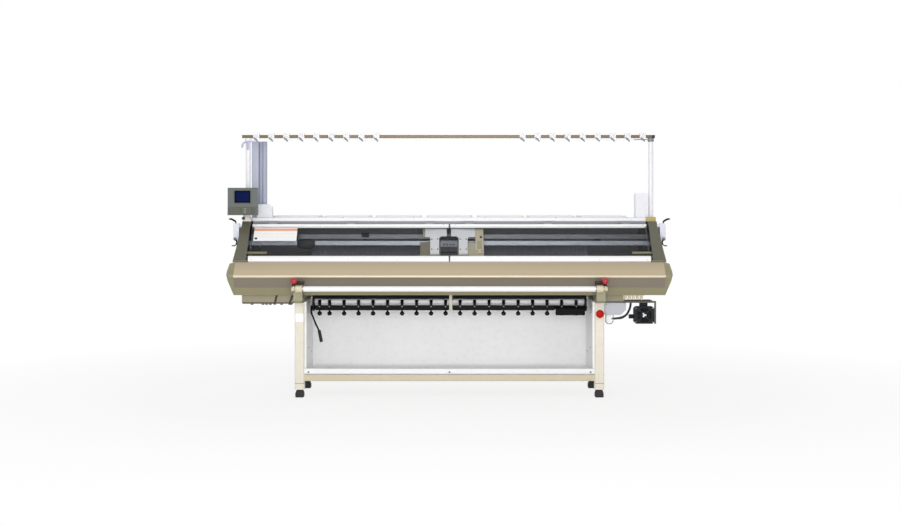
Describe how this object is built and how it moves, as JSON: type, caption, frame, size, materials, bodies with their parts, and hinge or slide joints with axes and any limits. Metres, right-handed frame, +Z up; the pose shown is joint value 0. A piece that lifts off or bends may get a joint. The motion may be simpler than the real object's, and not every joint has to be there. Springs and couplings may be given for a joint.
{
  "type": "flat knitting machine",
  "caption": "Computer-controlled flat knitting machine with two sloping needle beds, a sliding carriage, hinged windows, a fabric bin and a yarn stand on top.",
  "frame": {"origin": "on the floor, under the middle of the machine", "axes": "+X to the right along the needle beds seen from the operator, +Y to the back, +Z up"},
  "size_m": [3.3, 1.04, 1.964],
  "materials": {
    "cream_paint": "satin powder coat, cream",
    "beam_paint": "satin powder coat, beige",
    "white_paint": "satin powder coat, white",
    "olive_paint": "satin powder coat, olive khaki",
    "gold_paint": "satin metallic paint, pale gold",
    "cheek_paint": "fine textured paint, olive grey",
    "grey_paint": "satin paint, pale grey",
    "lavender_paint": "satin paint, lavender grey",
    "black_paint": "black oxide and black paint",
    "dark_paint": "matt dark grey paint",
    "bronze_paint": "bronze anodised bar",
    "cast_paint": "machined and painted casting",
    "bed_steel": "ground and hardened steel",
    "rail_steel": "ground steel",
    "roller_rubber": "pale rubber sleeve",
    "pinch_rubber": "pale rubber sleeve",
    "brass": "dull brass",
    "arm_paint": "satin paint, light grey",
    "cam_paint": "satin paint, beige grey",
    "smoke_glass": "clear, slightly smoked pane",
    "monitor_plastic": "fine textured plastic, olive grey",
    "screen_glass": "dark blue display",
    "red_plastic": "glossy red knobs",
    "stop_red": "glossy red mushroom cap",
    "foot_rubber": "black rubber",
    "fan_plastic": "black moulded plastic",
    "rotor_plastic": "black moulded plastic, pale hub",
    "cable_jacket": "matt cable jacket",
    "tension_plastic": "white moulded plastic"
  },
  "bodies": {
    "frame": {"front_legs": "cream_paint", "back_legs": "cream_paint", "levelling_feet": "foot_rubber", "side_ties": "cream_paint", "long_beams": "beam_paint", "leg_blocks": "olive_paint", "bin_sides": "white_paint", "bin_tray": "white_paint", "bin_lip": "white_paint", "bed_beam_front": "cast_paint", "bed_beam_back": "cast_paint", "needle_bed_front": "bed_steel", "guide_bars": "rail_steel", "feeder_rails": "rail_steel", "front_cover": "gold_paint", "lower_cover": "olive_paint", "end_caps": "olive_paint", "end_frame_left": "cheek_paint", "end_frame_right": "cheek_paint", "rear_cover": "gold_paint", "hood": "white_paint", "yarn_trays": "white_paint", "inner_wall": "dark_paint", "takedown_frame": "black_paint", "takedown_strut": "cream_paint", "start_brackets": "cream_paint", "stop_collar": "dark_paint", "yarn_poles": "white_paint", "top_bar": "bronze_paint", "yarn_tensioners": "tension_plastic", "cable_column": "lavender_paint", "supply_boxes": "grey_paint", "pole_block": "brass", "monitor_bracket": "cream_paint", "side_boxes": "grey_paint", "under_box_left": "olive_paint", "power_shelf": "olive_paint", "cables": "cable_jacket", "fan_housing": "fan_plastic"},
    "back_bed": {"needle_bed_back": "bed_steel"},
    "carriage": {"carriage_cam_boxes": "cam_paint", "carriage_bridge": "arm_paint"},
    "window_left": {"window_frame_left": "white_paint", "window_pane_left": "smoke_glass"},
    "window_right": {"window_frame_right": "white_paint", "window_pane_right": "smoke_glass"},
    "monitor": {"monitor_case": "monitor_plastic", "monitor_screen": "screen_glass"},
    "start_bar": {"start_bar": "white_paint", "start_balls": "red_plastic"},
    "stop_button": {"stop_button": "stop_red"},
    "takedown_roller": {"takedown_roller": "roller_rubber"},
    "pressure_frame": {"pressure_frame": "black_paint"},
    "pinch_rollers": {"pinch_rollers": "pinch_rubber"},
    "yarn_carrier_1": {"yarn_carrier_1": "black_paint"},
    "yarn_carrier_2": {"yarn_carrier_2": "black_paint"},
    "yarn_carrier_3": {"yarn_carrier_3": "black_paint"},
    "side_arm_left": {"side_arm_left": "black_paint"},
    "side_arm_right": {"side_arm_right": "black_paint"},
    "fan_rotor": {"fan_rotor": "rotor_plastic"}
  },
  "joints": [
    {"name": "bed_racking", "type": "slide", "parent": "frame", "child": "back_bed", "axis": [1, 0, 0], "range_m": [-0.0254, 0.0254]},
    {"name": "carriage_slide", "type": "slide", "parent": "frame", "child": "carriage", "axis": [1, 0, 0], "range_m": [-1.2, 1.2]},
    {"name": "window_left_hinge", "type": "hinge", "parent": "frame", "child": "window_left", "pos_m": [-0.74, -0.058, 1.283], "axis": [-1, 0, 0], "range_deg": [0, 60]},
    {"name": "window_right_hinge", "type": "hinge", "parent": "frame", "child": "window_right", "pos_m": [0.74, -0.058, 1.283], "axis": [-1, 0, 0], "range_deg": [0, 60]},
    {"name": "monitor_swivel", "type": "hinge", "parent": "frame", "child": "monitor", "pos_m": [-1.542, -0.06, 1.36], "axis": [0, 0, 1], "range_deg": [-40, 40]},
    {"name": "start_bar_turn", "type": "hinge", "parent": "frame", "child": "start_bar", "pos_m": [0, -0.495, 0.81], "axis": [1, 0, 0], "range_deg": [-12, 12], "stiffness_Nm_per_rad": 60},
    {"name": "stop_push", "type": "slide", "parent": "frame", "child": "stop_button", "axis": [0, 1, 0], "range_m": [0, 0.006], "stiffness_N_per_m": 900, "springref_m": -0.004},
    {"name": "takedown_spin", "type": "hinge", "parent": "frame", "child": "takedown_roller", "pos_m": [0, -0.038, 0.691], "axis": [1, 0, 0], "continuous": true},
    {"name": "pressure_release", "type": "hinge", "parent": "frame", "child": "pressure_frame", "pos_m": [0, -0.104, 0.6505], "axis": [1, 0, 0], "range_deg": [0, 10], "stiffness_Nm_per_rad": 120, "springref_deg": -6.88},
    {"name": "pinch_spin", "type": "hinge", "parent": "pressure_frame", "child": "pinch_rollers", "pos_m": [0, -0.081, 0.691], "axis": [1, 0, 0], "continuous": true},
    {"name": "carrier_1_slide", "type": "slide", "parent": "frame", "child": "yarn_carrier_1", "axis": [1, 0, 0], "range_m": [-0.1, 2.2]},
    {"name": "carrier_2_slide", "type": "slide", "parent": "frame", "child": "yarn_carrier_2", "axis": [1, 0, 0], "range_m": [-0.55, 1.75]},
    {"name": "carrier_3_slide", "type": "slide", "parent": "frame", "child": "yarn_carrier_3", "axis": [1, 0, 0], "range_m": [-2.2, 0.1]},
    {"name": "side_tension_left", "type": "hinge", "parent": "frame", "child": "side_arm_left", "pos_m": [-1.6, -0.139, 1.163], "axis": [0, 1, 0], "range_deg": [-12, 12], "stiffness_Nm_per_rad": 3},
    {"name": "side_tension_right", "type": "hinge", "parent": "frame", "child": "side_arm_right", "pos_m": [1.6, -0.139, 1.163], "axis": [0, 1, 0], "range_deg": [-12, 12], "stiffness_Nm_per_rad": 3},
    {"name": "fan_spin", "type": "hinge", "parent": "frame", "child": "fan_rotor", "pos_m": [1.433, -0.266, 0.6055], "axis": [0, 1, 0], "continuous": true}
  ],
  "couplings": [
    {"joint": "pinch_spin", "follows": "takedown_spin", "ratio": -1.1}
  ]
}
